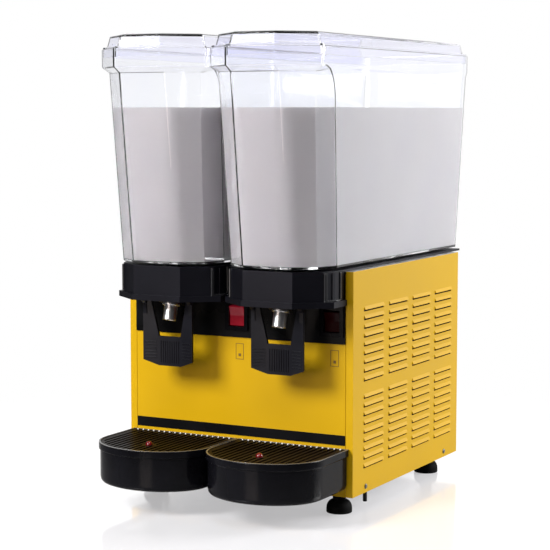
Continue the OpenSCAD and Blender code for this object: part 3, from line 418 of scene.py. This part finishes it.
drink_level = 0.5605
floor_over_base = 0.0063
drink_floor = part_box("left_bowl_base")[1].z + floor_over_base
wall_gap = 0.0003
corner_r = 0.016
pod_hole_r, pod_cover = 0.056, 0.004
outlet_r, outlet_dip, outlet_y = 0.012, -0.002, FRONT_Y - 0.036
drink_finish = new_finish("milky_drink", ((0.80, 0.765, 0.785), (0.84, 0.805, 0.82)), (0.45, 0.6),
    (60, 0.00003), 7, {"Specular IOR Level": 0.3, "Subsurface Weight": 1.0, "Subsurface Scale": 0.012,
    "Subsurface Radius": (1.0, 1.0, 1.0)})
for side in SIDES:
    drink = merged_copy(f"{side}_tank", f"{side}_drink")
    pod_low, pod_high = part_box(f"{side}_evaporator")
    pod_hole = Vector((tank_x[side], (pod_low.y + pod_high.y) / 2, drink_floor))
    outlet = Vector((tank_x[side], outlet_y, drink_floor))

    def is_shell(face):
        """Whether a face of the tank is none of its inner walls and not its inner floor."""
        inwards = (pod_hole - face.center).to_2d().dot(face.normal.to_2d()) > 0
        on_wall = inwards and face.normal.z < 0.5 and face.center.z > drink_floor
        return not on_wall and (face.normal.z < 0.9 or abs(face.center.z - drink_floor) > 0.0002)

    def is_front_corner(edge):
        """Whether an edge is one of the two upright corners at the drink's front."""
        low, high = (drink.data.vertices[index].co for index in edge.vertices)
        upright = abs(high.z - low.z) > 0.15 and low.y < FRONT_Y
        return edge.index in sharp and upright and abs(low.x - tank_x[side]) < 0.05

    pick(drink, "FACE", is_shell)
    bpy.ops.mesh.delete(type="FACE")
    bpy.ops.mesh.select_all(action="SELECT")
    bpy.ops.mesh.bisect(plane_co=(0, 0, drink_level), plane_no=(0, 0, 1), clear_outer=True, use_fill=True)
    bpy.ops.object.mode_set(mode="OBJECT")
    over_pod = pod_high.z + pod_cover - drink_floor
    for hole, reach, rise in ((pod_hole, pod_hole_r, over_pod), (outlet, outlet_r, outlet_dip)):
        pick(drink, "VERT", lambda vertex: (vertex.co - hole).length < reach)
        bpy.ops.mesh.extrude_region_move(TRANSFORM_OT_translate={"value": (0, 0, rise)})
        bpy.ops.mesh.edge_face_add()
        bpy.ops.object.mode_set(mode="OBJECT")
    pick(drink, "FACE", lambda face: True)
    bpy.ops.mesh.normals_make_consistent(inside=False)
    bpy.ops.transform.shrink_fatten(value=-wall_gap)
    bpy.ops.mesh.select_mode(type="EDGE")
    bpy.ops.mesh.select_all(action="DESELECT")
    bpy.ops.mesh.edges_select_sharp(sharpness=math.radians(25))
    bpy.ops.object.mode_set(mode="OBJECT")
    sharp = {edge.index for edge in drink.data.edges if edge.select}
    pick(drink, "EDGE", is_front_corner)
    bpy.ops.mesh.bevel(offset=corner_r, segments=6, affect="EDGES")
    bpy.ops.object.mode_set(mode="OBJECT")
    bpy.ops.object.shade_smooth_by_angle(angle=SMOOTH_UNDER)
    fit(drink, drink_finish, f"{side}_tank", "white_plastic")

# Lids: clear polycarbonate with a skirt that drops inside the rim, a low dome, and small lugs along
# the front edge to lift them by.
lid_plastic = new_finish("clear_lid_polycarbonate", ((0.94, 0.94, 1.0), (0.955, 0.955, 1.0)),
    (0.01, 0.05), (24, 0.00001), 12, {"Transmission Weight": 1.0, "IOR": 1.2})
lug_size = (0.007, 0.0026, 0.003)
lug_pitch = 0.037
lug_y, lug_z = FRONT_Y - 0.119, 0.6443
for side in SIDES:
    lid = merged_copy(f"{side}_lid", f"{side}_clear_lid")
    round_edges(lid, radius=0.0007, steps=3, sharper_than=12)
    lugs = [bar("lug", lug_size, (tank_x[side] + place * lug_pitch, lug_y, lug_z)) for place in (-1, 0, 1)]
    fit(join([lid, *lugs]), lid_plastic, f"{side}_lid", "clear_plastic", f"{side}_lid")

# Taps: a black valve body under each nose, a satin steel spout that leans forwards, and the pin,
# plunger and coil spring of the valve. The spring shortens as the lever lifts the plunger.
satin = new_finish("satin_steel", ((0.88, 0.88, 0.90), (0.94, 0.94, 0.96)),
    (0.30, 0.38), (400, 0.000003), 60, {"Metallic": 1.0})
for side in SIDES:
    dress(f"{side}_tap_body", f"{side}_valve_body", black_plastic, "cabinet", "black_plastic",
        radius=0.0005)
    dress(f"{side}_spout", f"{side}_steel_spout", satin, "cabinet", "steel", radius=0.0005, steps=3)
    coat(f"{side}_lever_pin", satin)
    coat(f"{side}_valve_plunger", silicone)
    spring = merged_copy(f"{side}_valve_spring", f"{side}_coil_spring")
    bpy.ops.object.shade_smooth_by_angle(angle=math.radians(70))
    fit(spring, satin, "cabinet", "steel", f"{side}_valve_spring")
    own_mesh(spring)


# Levers: black moulded push levers. The hollow paddle has upright ribs in the middle and level ribs
# on its sloping sides, and two arms carry it on the pin.
def row(piece, count, step):
    """Repeats a piece count times, each copy step further on."""
    select_only(piece)
    copies = piece.modifiers.new("copies", "ARRAY")
    copies.count = count
    copies.use_relative_offset = False
    copies.use_constant_offset = True
    copies.constant_offset_displace = step
    bpy.ops.object.modifier_apply(modifier="copies")
    return piece


lever_plastic = new_finish("moulded_lever_plastic", ((0.008, 0.008, 0.011), (0.012, 0.012, 0.016)),
    (0.30, 0.40), (1600, 0.00001), 14, {"Specular IOR Level": 0.16})
paddle_y = FRONT_Y - 0.0413
paddle_slope = math.atan2(6, 22.5)
rib_w, rib_t = 0.0014, 0.0016
upright_h, upright_pitch, upright_count = 0.032, 0.0036, 9
level_w, level_pitch, level_count = 0.017, 0.0045, 6
for side in SIDES:
    lever = merged_copy(f"{side}_lever", f"{side}_push_lever")
    round_edges(lever, radius=0.0009, steps=3)
    first_x = tank_x[side] - upright_pitch * (upright_count - 1) / 2
    upright = bar("ribs", (rib_w, rib_t, upright_h), (first_x, paddle_y - 0.0002, 0.216))
    ribs = [row(upright, upright_count, (upright_pitch, 0, 0))]
    for hand in (-1, 1):
        level_place = (tank_x[side] + hand * 0.029, paddle_y - 0.0032, 0.208)
        level = bar("ribs", (level_w, rib_t, rib_w), level_place, -hand * paddle_slope)
        ribs.append(row(level, level_count, (0, 0, level_pitch)))
    fit(join([lever, *ribs]), lever_plastic, f"{side}_lever", "black_plastic", f"{side}_lever")

# Drip trays: round-fronted glossy trays on the brackets, each with a lift-out grid of front-to-back
# bars, a row of white studs along its rear edge whose white is a painted highlight for the glints
# off the bar ends, and a red float that shows when the tray is full.
grid_plastic = new_finish("dark_grid_plastic", ((0.0075, 0.0042, 0.0023), (0.011, 0.0063, 0.0037)),
    (0.3, 0.42), (900, 0.000008), 25, {"Specular IOR Level": 0.02})
red_plastic = new_finish("red_plastic", ((0.12, 0.003, 0.006), (0.17, 0.005, 0.009)),
    (0.15, 0.25), (300, 0.000003), 40, {"Specular IOR Level": 0.5})
tray_plastic = new_finish("moulded_tray_plastic", ((0.003, 0.003, 0.004), (0.005, 0.005, 0.007)),
    (0.12, 0.20), (900, 0.000006), 20, {"Specular IOR Level": 0.12})
# A pale grey finish for a thin sheet on each tray's rim: a painted highlight along the rim.
rim_highlight_paint = new_finish("painted_tray_rim_highlight", ((0.07, 0.068, 0.066), (0.10, 0.097, 0.094)),
    (0.15, 0.25), (900, 0.000004), 40, {"Specular IOR Level": 0.6})
highlight_sheet_t = 0.0008
stud, stud_pitch, stud_count = 0.0024, 0.009, 18
stud_y, stud_z = FRONT_Y - 0.006, 0.0934
for side in SIDES:
    dress(f"{side}_tray", f"{side}_drip_tray", tray_plastic, f"{side}_tray", "black_gloss",
        radius=0.0008, steps=3)
    tray_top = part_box(f"{side}_tray")[1].z
    # A thin pale sheet laid on the tray's top faces: a painted highlight along the rim.
    rim = merged_copy(f"{side}_tray", f"{side}_tray_rim_highlight_sheet")
    pick(rim, "FACE", lambda face: face.normal.z < 0.9 or face.center.z < tray_top - 0.0003)
    bpy.ops.mesh.delete(type="FACE")
    bpy.ops.object.mode_set(mode="OBJECT")
    highlight_sheet = rim.modifiers.new("highlight_sheet", "SOLIDIFY")
    highlight_sheet.thickness = highlight_sheet_t
    highlight_sheet.offset = 1
    bpy.ops.object.modifier_apply(modifier="highlight_sheet")
    round_edges(rim, radius=0.0003)
    fit(rim, rim_highlight_paint, f"{side}_tray", "black_gloss")
    dress(f"{side}_grid", f"{side}_slotted_grid", grid_plastic, f"{side}_grid", "black_plastic",
        radius=0.0005)
    first_x = tank_x[side] - stud_pitch * (stud_count - 1) / 2
    # The studs' white plastic is a painted highlight: white dots where the bar ends glint.
    studs = bar(f"{side}_grid_glint_studs", (stud, stud, stud), (first_x, stud_y, stud_z), 0, 0.0009)
    fit(row(studs, stud_count, (stud_pitch, 0, 0)), white_plastic, f"{side}_grid", "white_plastic")
    dress(f"{side}_float", f"{side}_red_float", red_plastic, f"{side}_float", "red_plastic",
        radius=0.0005)

# Switches: black bezels snapped into the control panel, each with a red rocker whose face has two
# flats that meet in a shallow valley. The left one is on, so its lamp shines through the red. Both
# lenses are one red plastic: the right one's colour is painted far darker, painted shade, and the
# left one's lighter colour is painted light from its lamp on top of its glow.
gloss_plastic = new_finish("glossy_black_plastic", ((0.003, 0.003, 0.004), (0.005, 0.005, 0.007)),
    (0.16, 0.24), (300, 0.000004), 20, {"Specular IOR Level": 0.16})
switch_x = {side: sum(corner.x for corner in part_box(f"{side}_rocker")) / 2 for side in SIDES}
switch_z = 0.269
rocker_size = (0.024, 0.01, 0.028)
rocker_rise, rocker_valley = 0.0025, 0.0016
rocker_tip = math.radians(7)
rocker_set_back = 0.004
red_painted_lit_shades = ((0.20, 0.004, 0.010), (0.28, 0.008, 0.018))
lens = {
    "left": new_finish("lit_red_lens", red_painted_lit_shades, (0.12, 0.22), (500, 0.000006), 60,
        {"Specular IOR Level": 0.6, "Emission Color": (0.8, 0.02, 0.06, 1), "Emission Strength": 0.11}),
    # The right lens: the same red painted far darker, painted shade.
    "right": new_finish("red_lens_painted_shade", ((0.014, 0.0008, 0.0012), (0.022, 0.001, 0.002)), (0.12, 0.22),
        (500, 0.000006), 60, {"Specular IOR Level": 0.12}),
}
for side in SIDES:
    dress(f"{side}_switch_housing", f"{side}_switch_bezel", gloss_plastic, "cabinet", "black_gloss",
        radius=0.001, steps=3)
    bpy.ops.object.select_all(action="DESELECT")
    bpy.ops.mesh.primitive_cube_add(size=1, location=(0, -rocker_rise, 0))
    rocker = bpy.context.object
    rocker.name = f"{side}_red_rocker"
    rocker.scale = rocker_size
    bpy.ops.object.transform_apply(location=True, rotation=True, scale=True)
    bpy.ops.object.mode_set(mode="EDIT")
    bpy.ops.mesh.select_all(action="SELECT")
    bpy.ops.mesh.bisect(plane_co=(0, 0, 0), plane_no=(0, 0, 1))
    bpy.ops.object.mode_set(mode="OBJECT")
    pick(rocker, "VERT", lambda vertex: abs(vertex.co.z) < 0.0001 and vertex.co.y < 0)
    bpy.ops.transform.translate(value=(0, rocker_valley, 0))
    bpy.ops.object.mode_set(mode="OBJECT")
    rocker.rotation_euler.x = rocker_tip
    rocker.location = (switch_x[side], FRONT_Y + rocker_set_back, switch_z)
    bpy.ops.object.transform_apply(location=True, rotation=True, scale=True)
    round_edges(rocker, radius=0.0012, steps=3, sharper_than=5)
    fit(rocker, lens[side], f"{side}_rocker", "red_plastic", f"{side}_rocker")

# Switch signs: a plain upright frame with a dot near its lower edge, screen-printed on the yellow
# front panel under each switch.
sign_ink = new_finish("sign_ink", ((0.16, 0.08, 0.004), (0.20, 0.10, 0.006)),
    (0.5, 0.6), (900, 0.000004), 60, {})
sign_w, sign_h, sign_line = 0.012, 0.022, 0.0008
sign_dot, dot_drop, ink_t, ink_round = 0.004, 0.005, 0.0003, 0.0001
for side in SIDES:
    sign = Vector((switch_x[side] + 0.003, FRONT_Y - 0.0001, 0.218))
    strokes = [
        bar(f"{side}_switch_sign", (w, ink_t, h), sign + Vector((x, 0, z)), 0, ink_round)
        for w, h, x, z in (
            (sign_line, sign_h, -sign_w / 2, 0),
            (sign_line, sign_h, sign_w / 2, 0),
            (sign_w + sign_line, sign_line, 0, sign_h / 2),
            (sign_w + sign_line, sign_line, 0, -sign_h / 2),
            (sign_dot, sign_dot, 0, -dot_drop),
        )
    ]
    fit(join(strokes), sign_ink, "cabinet", "black_gloss")

bpy.context.view_layer.update()
